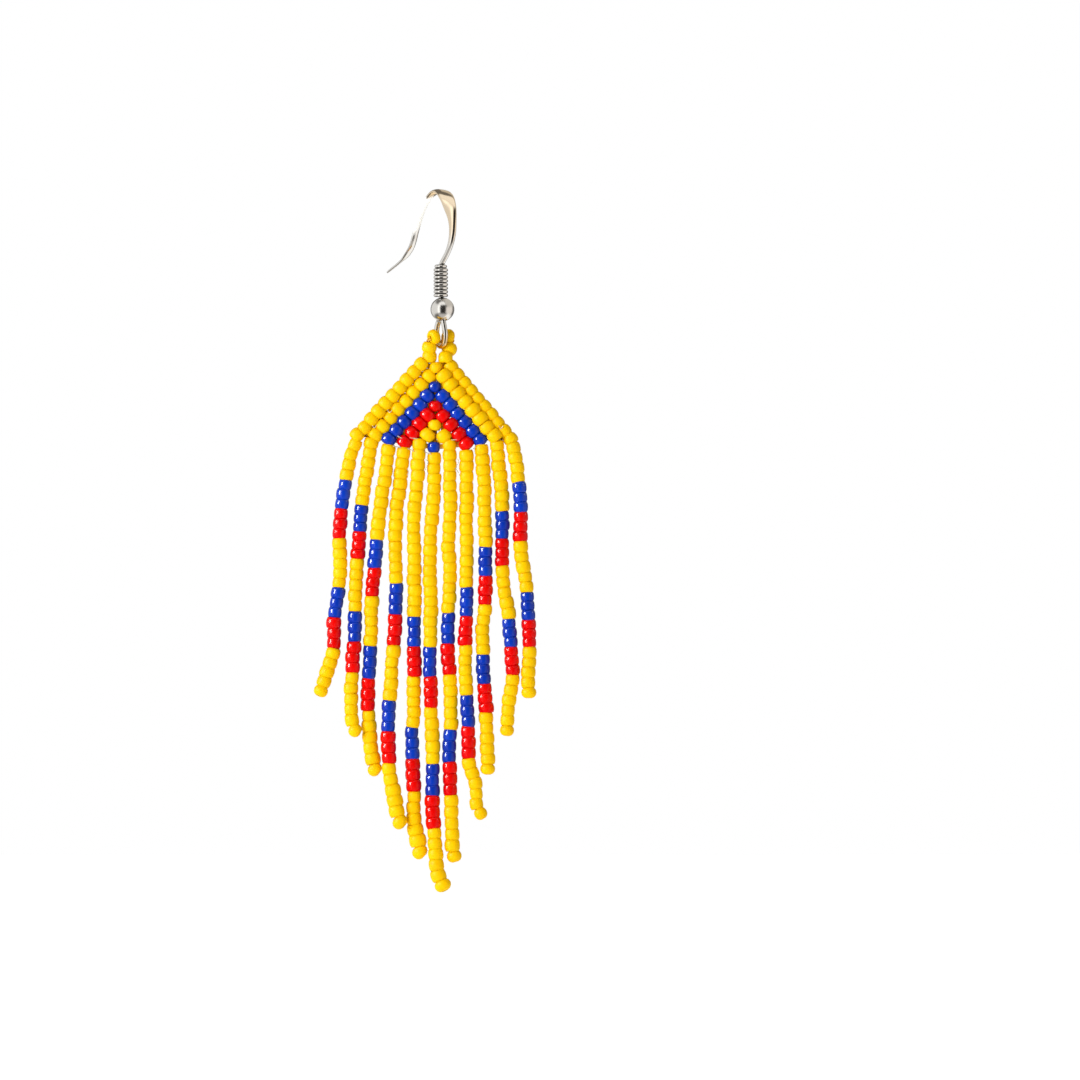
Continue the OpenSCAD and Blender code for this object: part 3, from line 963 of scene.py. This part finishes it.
@dataclass
class WovenPanel:
    """The woven triangle: nested sloping rows of beads, their threads and the two arms up to the loop.

    Each arm bead is its centre and the way its hole runs. Base threads run between two places in x and z.
    """

    depth: float = -0.8
    thread: float = 0.16
    thread_steps: int = 12
    pair_apart: float = 0.3
    # The stitches are thick, so their amber painted shade fills the gaps between rows.
    stitch: float = 0.8
    stitch_behind: float = 0.35
    stitch_reach: float = 3.6
    stitch_steps: int = 4
    base_steps: int = 6
    arm_beads: tuple = (
        (-1.24, -0.85, -23.32, 0.05, 0.1, 1.0),
        (1.13, -0.62, -23.53, 0.12, 0.4, 1.0),
    )
    arm_bead_height: float = 1.78
    rows: tuple = (
        PanelRow(
            Glass.YELLOW, (-0.25, 0.3), (-2.46, -24.36, -11.54, -34.51, 10), (1.86, -24.77, 10.43, -35.06, 10)
        ),
        PanelRow(
            Glass.YELLOW, (0.2, -0.2), (-0.24, -24.86, -8.99, -34.41, 9), (-0.24, -24.86, 8.06, -34.64, 9)
        ),
        PanelRow(Glass.BLUE, (0.1, 0.15), (-0.4, -27.64, -7.07, -35.06, 7), (-0.4, -27.64, 5.96, -35.24, 7)),
        PanelRow(Glass.RED, (0.1, 0.05), (-0.37, -30.4, -4.8, -35.51, 5), (-0.37, -30.4, 4.0, -35.79, 5)),
        PanelRow(
            Glass.YELLOW, (-0.2, -0.2), (-0.46, -33.1, -1.51, -34.51, 2), (-0.46, -33.1, 0.77, -34.69, 2)
        ),
        PanelRow(
            Glass.BLUE, (0.1, 0.1), (-0.57, -36.24, -0.57, -36.24, 1), (-0.57, -36.24, -0.57, -36.24, 1)
        ),
    )
    tallest: float = 1.74
    close: float = 1.18
    girth: float = 1.12
    top_height: float = 1.6
    top_girth: float = 0.94
    base_before: float = 0.75
    base_threads: tuple = (
        (-6.44, -36.06, -5.26, -36.33), (-5.80, -34.64, -5.03, -35.06), (-4.34, -36.41, -3.43, -36.83),
        (-4.03, -34.87, -2.70, -35.10), (-1.89, -36.93, -0.97, -37.24), (1.69, -35.24, 2.96, -35.14),
        (5.06, -36.51, 5.37, -36.20),
    )  # fmt: skip

    def arm(self, side: tuple, behind: float = 0.0) -> tuple[np.ndarray, np.ndarray]:
        """Finds where an arm's beads are.

        Args:
            side: the arm, as in PanelRow.
            behind: how far it lies behind the panel's middle.

        Returns:
            The beads' centres, and the arm's direction.
        """
        x0, z0, x1, z1, count = side
        depth = self.depth + behind
        share = np.linspace(0, 1, count)[:, None] if count > 1 else np.zeros((1, 1))
        places = (1 - share) * [x0, depth, z0] + share * [x1, depth, z1]
        way = unit([x1 - x0, 0, z1 - z0]) if count > 1 else np.array([1.0, 0, 0])
        return places, way

    def build(self, bead: SeedBead, palette: Palette) -> None:
        """Builds the panel's beads, threads and stitches.

        Args:
            bead: the bead to copy.
            palette: the finishes.
        """
        work = Beadwork(bead, np.random.default_rng(SEED + 1))
        for x, y, z, *way in self.arm_beads:
            work.add((x, y, z), way, Glass.YELLOW, self.arm_bead_height)
        for row in self.rows:
            if row.shared_top:
                top = np.array([row.left[0], self.depth + sum(row.behind) / 2, row.left[1]])
                work.girth = self.top_girth
                work.add(top, (0, 0, 1), row.glass, self.top_height)
                work.girth = self.girth
            for side, behind in zip((row.left, row.right), row.behind):
                places, way = self.arm(side, behind)
                pitch = np.linalg.norm(np.diff(places, axis=0), axis=1).mean() if len(places) > 1 else 0
                for place in places[1:] if row.shared_top else places:
                    work.add(place, way, row.glass, min(pitch * self.close, self.tallest))
        mount(work.join("panel_beads", palette), "drop", "yellow_beads", "bead_panel")
        for name, paths, width, finish in (
            ("panel_thread", self.threads(), self.thread, palette.thread),
            # Stitches: real thread, made thick and amber as painted shade in the gaps between rows.
            ("panel_stitches", self.stitches(), self.stitch, palette.stitching),
        ):
            lines = joined([line_of(path, width, (0, 1, 0)) for path in paths])
            mount(bring_home(lines, name, finish), "drop", "clear_thread", "bead_panel")

    def stitches(self) -> list[np.ndarray]:
        """Lays the stitches, just behind the middle.

        They tie each arm to the next row bead by bead, then run down the middle, along the base, and from the
        arm beads to the first beads below them. The base runs along the ends of the first four rows and
        through the last row's one bead.

        Returns:
            Their paths.
        """
        paths = []
        for outer, inner in zip(self.rows[:-1], self.rows[1:]):
            for over, under in ((outer.left, inner.left), (outer.right, inner.right)):
                beads, _ = self.arm(under, self.stitch_behind)
                for place in self.arm(over, self.stitch_behind)[0]:
                    near = sorted(beads, key=lambda bead, place=place: np.linalg.norm(bead - place))[:2]
                    near = [bead for bead in near if np.linalg.norm(bead - place) < self.stitch_reach]
                    paths += [np.linspace(place, bead, self.stitch_steps) for bead in near]
        tops = [row.left[:2] for row in self.rows[1:]]
        left, right = [row.left[2:4] for row in self.rows], [row.right[2:4] for row in self.rows]
        base = [*left[:4], left[5], *reversed(right[:4])]
        arms = [(bead[0], bead[2]) for bead in self.arm_beads]
        first = self.rows[0]
        for pairs, steps in (
            (zip(tops[:-1], tops[1:]), self.stitch_steps),
            ([*zip(base[:-1], base[1:]), (left[4], right[4])], self.base_steps),
            ([(arms[0], tops[0]), (arms[0], first.left[:2])], self.stitch_steps),
            ([(arms[1], tops[0]), (arms[1], first.right[:2])], self.stitch_steps),
        ):
            paths += [self.level_line(start, end, self.stitch_behind, steps) for start, end in pairs]
        return paths

    def threads(self) -> list[np.ndarray]:
        """Lays the threads: along each arm and the base, and two below the second row's top.

        Returns:
            Their paths.
        """
        paths = []
        for row in self.rows[:-1]:
            for side in (row.left, row.right):
                paths.append(self.level_line(side[:2], side[2:4], 0, self.thread_steps))
        for ends in self.base_threads:
            paths.append(self.level_line(ends[:2], ends[2:], -self.base_before, self.stitch_steps))
        (x0, z0), (x1, z1) = self.rows[1].left[:2], self.rows[2].left[:2]
        for aside in (-self.pair_apart / 2, self.pair_apart / 2):
            paths.append(self.level_line((x0 + aside, z0), (x1 + aside, z1), 0, self.stitch_steps))
        return paths

    def level_line(self, start: Point, end: Point, behind: float, steps: int) -> np.ndarray:
        """Returns points between two places in x and z, all of them that far behind the panel's middle."""
        depth = self.depth + behind
        return np.linspace((start[0], depth, start[1]), (end[0], depth, end[1]), steps)


@dataclass(frozen=True)
class Strand:
    """One strand of the fringe, from the top.

    It has the number of yellow beads before its first blue one, that after its last red one, its route, its
    pace, how far its last bead has turned, and how much wider than usual its last beads are. The pace is how
    tall the beads are, against each other, in its five stretches: yellow, blue and red, yellow, blue and red,
    and yellow.
    """

    first: int
    last: int
    route: tuple
    pace: tuple[float, float, float, float, float]
    end_turn_deg: float = 0.0
    flare: float = 1.0


@dataclass
class Fringe:
    """The eleven strands, each a string of beads on a thread, and a few slack bends of thread.

    The bends show near the strands' tops and in the panel, each through three places in x and z.
    """

    depth: float = -1.5
    thread: float = 0.16
    thread_steps: int = 24
    route_steps: int = 10
    close: float = 1.09
    height_spread: float = 0.02
    most_spread: float = 0.05
    band: int = 3
    between: int = 5
    end_tall: float = 1.14
    flared_beads: int = 6
    slack_thread: float = 0.13
    slack_steps: int = 5
    slack: tuple = (
        ((-1.75, -38.0), (-1.42, -38.4), (-1.9, -39.7)), ((2.8, -37.9), (2.95, -38.3), (2.75, -38.8)),
        ((2.3, -39.1), (2.7, -39.5), (3.1, -40.3)), ((-4.4, -39.4), (-4.2, -39.8), (-4.4, -40.2)),
        ((-7.2, -30.9), (-6.9, -31.3), (-6.6, -31.0)), ((-9.4, -33.1), (-9.1, -33.5), (-8.8, -33.1)),
        ((8.7, -33.2), (9.0, -33.6), (9.3, -33.2)),
    )  # fmt: skip
    strands: tuple = (
        Strand(4, 5, (
            (-11.6, -0.8, -35.2), (-12.6, -0.8, -38), (-13.6, -0.9, -43.5), (-14.1, -0.8, -49),
            (-14, -0.7, -54.5), (-14.8, -0.8, -60.5), (-15, -0.9, -65.5), (-16, -1, -69), (-17, -1.1, -71.7),
        ), (1.03, 0.97, 0.98, 1.0, 0.99)),
        Strand(7, 6, (
            (-9.4, -0.8, -35), (-10.1, -0.7, -39), (-10.9, -0.6, -44.5), (-11.4, -0.7, -51),
            (-11.8, -0.8, -58), (-12, -0.9, -64.5), (-12.4, -1, -70), (-12.4, -1.2, -74.5),
            (-11.6, -1.4, -77.4),
        ), (0.96, 0.89, 1.06, 1.0, 1.06), end_turn_deg=-40),
        Strand(9, 6, (
            (-7.1, -0.8, -35.9), (-7.6, -0.9, -40.5), (-8.3, -1, -45.5), (-8.9, -0.9, -51.5),
            (-9.5, -0.8, -58.5), (-9.5, -0.6, -62), (-9.8, -0.5, -66.5), (-10, -0.4, -73),
            (-9.7, -0.3, -78.5), (-8.9, -0.5, -83),
        ), (0.98, 0.87, 0.89, 1.0, 0.99), end_turn_deg=-40, flare=1.08),
        Strand(13, 6, (
            (-4.9, -0.8, -36.3), (-5.3, -0.7, -40.5), (-6, -0.7, -46), (-6.1, -0.8, -51), (-6, -0.9, -57.5),
            (-6.3, -0.9, -64), (-6.8, -1, -70.5), (-7.1, -1.1, -77), (-6.9, -1.2, -82.5), (-5.9, -1.4, -88),
            (-5.1, -1.6, -90.4),
        ), (1.0, 1.01, 1.06, 1.0, 1.04), end_turn_deg=-30, flare=1.15),
        Strand(17, 6, (
            (-2.7, -0.8, -35.1), (-2.9, -0.9, -39.5), (-3.4, -0.9, -46), (-3.4, -0.8, -53), (-3.4, -0.7, -60),
            (-3.4, -0.6, -67), (-3.5, -0.6, -74), (-3.7, -0.5, -78), (-3.5, -0.5, -84.5), (-3.3, -0.4, -90.5),
            (-2.4, -0.5, -94.8),
        ), (0.98, 0.94, 0.95, 1.0, 1.05), end_turn_deg=-35, flare=1.15),
        Strand(19, 6, (
            (-0.5, -0.8, -37.1), (-0.6, -0.7, -42), (-1, -0.7, -48), (-1.2, -0.8, -54), (-1, -0.9, -58.5),
            (-1.2, -0.9, -66), (-1, -0.9, -73), (-0.8, -0.8, -78), (-0.8, -0.8, -85), (-0.5, -0.9, -92),
            (0, -1.1, -97), (1, -1.3, -99.5),
        ), (0.96, 0.94, 1.06, 1.0, 0.99), flare=1.16),
        Strand(17, 6, (
            (1.7, -0.8, -35.2), (1.7, -0.9, -41), (1.7, -0.9, -47), (1.5, -0.8, -51), (1.7, -0.7, -55),
            (1.4, -0.6, -62), (1.6, -0.6, -68.5), (1.9, -0.7, -75), (1.6, -0.7, -79), (1.8, -0.8, -85.5),
            (2, -0.7, -92), (2.5, -0.6, -95.4),
        ), (0.94, 0.95, 1.01, 1.0, 1.01), flare=1.06),
        Strand(13, 6, (
            (4.1, -0.8, -36.7), (4.1, -0.7, -42), (4, -0.7, -46), (4.1, -0.8, -51.5), (4.1, -0.9, -58),
            (3.9, -1, -64.5), (4, -1, -70), (4.3, -0.9, -76), (4.4, -0.8, -81), (5.3, -0.7, -84.5),
            (5.6, -0.7, -87.5), (6.5, -0.9, -89.2),
        ), (0.98, 0.91, 0.93, 1.0, 0.98), flare=0.9),
        Strand(10, 6, (
            (6.2, -0.8, -35.9), (6.5, -0.9, -40), (6.7, -1, -46), (6.8, -0.9, -52.5), (6.7, -0.8, -58.5),
            (6.4, -0.7, -62), (6.5, -0.6, -68.5), (6.9, -0.6, -74.5), (7.1, -0.7, -80), (7, -0.8, -82.9),
        ), (1.05, 1.0, 1.0, 1.0, 1.03), flare=1.06),
        Strand(7, 6, (
            (8.3, -0.8, -35.3), (8.8, -0.7, -40), (9.2, -0.6, -46), (9.1, -0.7, -51), (9.4, -0.8, -56),
            (10.1, -0.9, -60.5), (10.5, -1, -66), (10.6, -1, -69.5), (10, -0.9, -73.5), (9.9, -0.8, -77.4),
        ), (1.09, 0.99, 1.12, 1.0, 1.1)),
        Strand(4, 5, (
            (10.6, -0.8, -35.7), (11.4, -0.9, -40), (11.8, -0.9, -46), (11.8, -0.8, -50.5),
            (12.4, -0.7, -54.5), (12.8, -0.7, -59), (13, -0.8, -65), (12.9, -0.9, -68.5), (13, -1, -72),
        ), (1.04, 1.04, 1.09, 1.0, 1.08), flare=1.05),
    )  # fmt: skip

    def turn_end(self, head: Point, degrees: float) -> np.ndarray:
        """Returns a strand's direction, turned in the view's plane."""
        cos, sin = math.cos(math.radians(degrees)), math.sin(math.radians(degrees))
        return np.array([cos * head[0] + sin * head[2], head[1], cos * head[2] - sin * head[0]])

    def colours(self, strand: Strand) -> list[Glass]:
        """Lists the colours of a strand's beads.

        Args:
            strand: the strand.

        Returns:
            The colours, from the top.
        """
        bands = [Glass.BLUE] * self.band + [Glass.RED] * self.band
        top, middle, end = ([Glass.YELLOW] * count for count in (strand.first, self.between, strand.last))
        return top + bands + middle + bands + end

    def build(self, bead: SeedBead, end_bead: SeedBead, palette: Palette) -> None:
        """Builds every strand's beads, and the threads as one piece.

        Args:
            bead: the bead to copy.
            end_bead: the rounder bead that ends each strand.
            palette: the finishes.
        """
        rng = np.random.default_rng(SEED + 2)
        lines = []
        for number, strand in enumerate(self.strands, 1):
            path = smooth_path(strand.route, self.route_steps)
            length = np.linalg.norm(np.diff(path, axis=0), axis=1).sum()
            colours = self.colours(strand)
            spread = rng.normal(0, self.height_spread, len(colours)).clip(-self.most_spread, self.most_spread)
            counts = (strand.first, 2 * self.band, self.between, 2 * self.band, strand.last)
            heights = (1 + spread) * np.repeat(strand.pace, counts)
            heights *= length / heights.sum()
            points, heads = walk(path, np.cumsum(heights) - heights / 2)
            work = Beadwork(bead, rng)
            ramp = (len(colours) - self.flared_beads, len(colours) - 2)
            girths = np.interp(np.arange(len(colours)), ramp, (1.0, strand.flare))
            for place, head, glass, height, girth in zip(points[:-1], heads, colours, heights, girths):
                work.girth = girth
                work.add(place, head, glass, height * self.close)
            turned = self.turn_end(heads[-1], strand.end_turn_deg)
            work.add(points[-1], turned, colours[-1], heights[-1] * self.end_tall, end_bead)
            node = f"strand_{number:02d}"
            mount(work.join(f"{node}_beads", palette), "drop", "yellow_beads", node)
            inner, _ = walk(path, np.linspace(0, length - heights[-1], self.thread_steps))
            lines.append(line_of(inner, self.thread, (0, 1, 0)))
        for bend in self.slack:
            path = smooth_path([(x, self.depth, z) for x, z in bend], self.slack_steps)
            lines.append(line_of(path, self.slack_thread, (0, 1, 0)))
        thread = bring_home(joined(lines), "fringe_thread", palette.thread)
        mount(thread, "drop", "clear_thread")


@dataclass(frozen=True)
class Lamp:
    """An oblong soft light that faces the earring, placed by its angles from the earring's middle.

    Its glow is its brightness to the eye. A gleam only makes highlights, and only on the glass beads.
    """

    name: str
    azimuth: float
    elevation: float
    size: tuple[float, float]
    glow: float
    gleam: bool


@dataclass(frozen=True)
class Wall:
    """A soft-edged patch of the room, as gloss mirrors it: its spread of angles and its linear light.

    Azimuths run from the camera's side towards the right and elevations up from level, both in degrees.
    """

    azimuth: tuple[float, float]
    elevation: tuple[float, float]
    light: tuple[float, float, float]


@dataclass
class Studio:
    """The pale ground, the soft lights and the camera at the photograph's framing."""

    floor_height: float = -140.0
    floor_side: float = 2600.0
    lens: float = 300.0
    sensor: float = 36.0
    look_depth: float = -0.8
    clip: tuple = (0.01, 20.0)
    ambient: float = 0.47
    cool_fill: tuple = (1.0, 1.0, 1.0)
    warm_fill: tuple = (0.9, 0.78, 0.16)
    warmer_across: tuple = (-0.3, 0.5)
    room_light: tuple = (0.18, 0.17, 0.16)
    edge_deg: float = 9.0
    walls: tuple = (
        Wall((-60, 60), (-90, -44), (0.6, 0.57, 0.54)),
        Wall((58, 175), (-85, -30), (1.15, 1.12, 1.08)),
        Wall((50, 190), (14, 76), (0.64, 0.6, 0.54)),
        Wall((-195, -153), (-80, -12), (1.05, 0.96, 0.84)),
        Wall((-140, -46), (-34, 44), (0.86, 0.85, 0.83)),
        Wall((-48, -19), (-34, 44), (1.5, 1.48, 1.44)),
        Wall((-55, 44), (42, 82), (1.1, 1.08, 1.05)),
        Wall((36, 114), (-34, 20), (0.92, 0.85, 0.79)),
        Wall((-24, 33), (-37, 37), (0.03, 0.027, 0.025)),
    )
    lamp_target: tuple = (-2.0, -1.0, -50.0)
    lamp_distance: float = 520.0
    lamps: tuple = (
        Lamp("key_light", -45, 17, (300, 300), 8.0, False),
        Lamp("left_gleam", -64, 15, (250, 250), 46.0, True),
        Lamp("right_gleam", 84, 25, (70, 160), 10.0, True),
    )

    def floor(self) -> None:
        """Lays the floor, a backlit white sheet, which the steel and glass don't mirror."""
        start_fresh()
        bpy.ops.mesh.primitive_plane_add(size=self.floor_side, location=(0, 0, self.floor_height))
        sheet = BacklitSheet("backlit_white_acrylic").make()
        plane = bring_home(bpy.context.active_object, "pale_floor", sheet)
        plane.visible_glossy = False

    def patch(self, tree: Tree, angles: tuple[Node, Node], under: Socket, wall: Wall) -> Socket:
        """Lays a wall's light over the light so far.

        Args:
            tree: the world's node tree.
            angles: the azimuth and the elevation.
            under: the light so far.
            wall: the wall.

        Returns:
            The light with the wall in it.
        """
        edge = math.radians(self.edge_deg)
        inside = []
        for angle, (low, high) in zip(angles, (wall.azimuth, wall.elevation)):
            middle, half = math.radians(low + high) / 2, math.radians(high - low) / 2
            off = add_node(tree, "ShaderNodeMath", {1: middle}, {0: angle}, operation="SUBTRACT")
            away = add_node(tree, "ShaderNodeMath", links={0: off}, operation="ABSOLUTE")
            span = {"From Min": half + edge, "From Max": half - edge}
            inside.append(add_node(tree, "ShaderNodeMapRange", span, {"Value": away}, **SMOOTH))
        mask = add_node(tree, "ShaderNodeMath", links={0: inside[0], 1: inside[1]}, operation="MULTIPLY")
        light = add_node(tree, "ShaderNodeMix", {7: (*wall.light, 1.0)}, {0: mask, 6: under}, **COLOUR)
        return light.outputs[2]

    def world(self) -> None:
        """Makes the surroundings: white to the camera, a soft fill, warmer at the right, and a room.

        Gloss mirrors the room: pale walls left and above, a warmer one at the right and the dark side where
        the camera stands, which draws the dark line down the front of the wire.
        """
        world = bpy.data.worlds.new("soft_white_room")
        bpy.context.scene.world = world
        world.use_nodes = True
        tree = world.node_tree
        tree.nodes.clear()
        where = add_node(tree, "ShaderNodeTexCoord")
        axes = add_node(tree, "ShaderNodeSeparateXYZ", links={0: where.outputs["Generated"]})
        front = add_node(tree, "ShaderNodeMath", {1: -1.0}, {0: axes.outputs["Y"]}, operation="MULTIPLY")
        across = axes.outputs["X"]
        azimuth = add_node(tree, "ShaderNodeMath", links={0: across, 1: front}, operation="ARCTAN2")
        elevation = add_node(tree, "ShaderNodeMath", links={0: axes.outputs["Z"]}, operation="ARCSINE")
        plain = add_node(tree, "ShaderNodeRGB")
        plain.outputs[0].default_value = (*self.room_light, 1.0)
        light = plain.outputs[0]
        for wall in self.walls:
            light = self.patch(tree, (azimuth, elevation), light, wall)
        room = add_node(tree, "ShaderNodeBackground", links={"Color": light})
        span = {"From Min": self.warmer_across[0], "From Max": self.warmer_across[1]}
        warmer = add_node(tree, "ShaderNodeMapRange", span, {"Value": across}, **SMOOTH)
        ends = {6: (*self.cool_fill, 1.0), 7: (*self.warm_fill, 1.0)}
        fill = add_node(tree, "ShaderNodeMix", ends, {0: warmer}, **COLOUR)
        soft = add_node(tree, "ShaderNodeBackground", {"Strength": self.ambient}, {"Color": fill.outputs[2]})
        pale = add_node(tree, "ShaderNodeBackground", {"Color": (1, 1, 1, 1), "Strength": 1.0})
        ray = add_node(tree, "ShaderNodeLightPath")
        shown = room
        for kind, look in (("Is Diffuse Ray", soft), ("Is Camera Ray", pale)):
            shown = add_node(tree, "ShaderNodeMixShader", links={0: ray.outputs[kind], 1: shown, 2: look})
        add_node(tree, "ShaderNodeOutputWorld", links={"Surface": shown})

    def lights(self, beadwork: list[Piece]) -> None:
        """Hangs the soft key, and the gleams that draw the highlights on the glass.

        Args:
            beadwork: the pieces that the gleams shine on.
        """
        shiny = bpy.data.collections.new("shiny_beadwork")
        for piece in beadwork:
            shiny.objects.link(piece)
        target = Vector(self.lamp_target) * MM
        for lamp in self.lamps:
            turn, rise = math.radians(lamp.azimuth), math.radians(lamp.elevation)
            way = Vector((math.sin(turn) * math.cos(rise), -math.cos(turn) * math.cos(rise), math.sin(rise)))
            bpy.ops.object.light_add(type="AREA", location=target + way * self.lamp_distance * MM)
            light = bpy.context.active_object
            light.name = light.data.name = lamp.name
            light.data.shape = "RECTANGLE"
            light.data.size, light.data.size_y = lamp.size[0] * MM, lamp.size[1] * MM
            light.data.energy = lamp.glow * math.pi * light.data.size * light.data.size_y
            light.visible_diffuse = not lamp.gleam
            light.visible_glossy = lamp.gleam
            light.rotation_euler = (-way).to_track_quat("-Z", "Y").to_euler()
            if lamp.gleam:
                light.light_linking.receiver_collection = shiny

    def camera(self) -> None:
        """Sets the camera level, at the photograph's framing."""
        span = PHOTO_SIDE_PX / PHOTO_PX_PER_MM
        x = (PHOTO_SIDE_PX / 2 - PHOTO_ORIGIN_PX[0]) / PHOTO_PX_PER_MM
        z = (PHOTO_ORIGIN_PX[1] - PHOTO_SIDE_PX / 2) / PHOTO_PX_PER_MM
        away = span * self.lens / self.sensor
        place = Vector((x, self.look_depth - away, z)) * MM
        bpy.ops.object.camera_add(location=place, rotation=(math.pi / 2, 0, 0))
        camera = bpy.context.active_object
        camera.name = camera.data.name = "camera"
        camera.data.lens = self.lens
        camera.data.sensor_width = self.sensor
        camera.data.clip_start, camera.data.clip_end = self.clip
        bpy.context.scene.camera = camera

    def build(self, beadwork: list[Piece]) -> None:
        """Builds the camera, the ground, the surroundings and the lights.

        Args:
            beadwork: the pieces that the gleams shine on.
        """
        self.camera()
        self.floor()
        self.world()
        self.lights(beadwork)
        bpy.context.scene.view_settings.view_transform = "Standard"


def main() -> None:
    """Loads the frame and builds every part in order."""
    logging.basicConfig(level=logging.INFO, format="%(message)s")
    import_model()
    palette = Palette.mix()
    bead = SeedBead().model()
    round_bead = SeedBead(profile=ROUND_PROFILE).model()
    hook = EarHook()
    hook.build(palette)
    BeadLoop().build(round_bead, palette, hook.forward())
    WovenPanel().build(round_bead, palette)
    Fringe().build(bead, SeedBead(profile=END_PROFILE).model(), palette)
    Studio().build([o for o in bpy.context.scene.objects if o.type == "MESH" and TONE in o.data.attributes])
    bpy.context.view_layer.update()


if __name__ == "__main__":
    main()
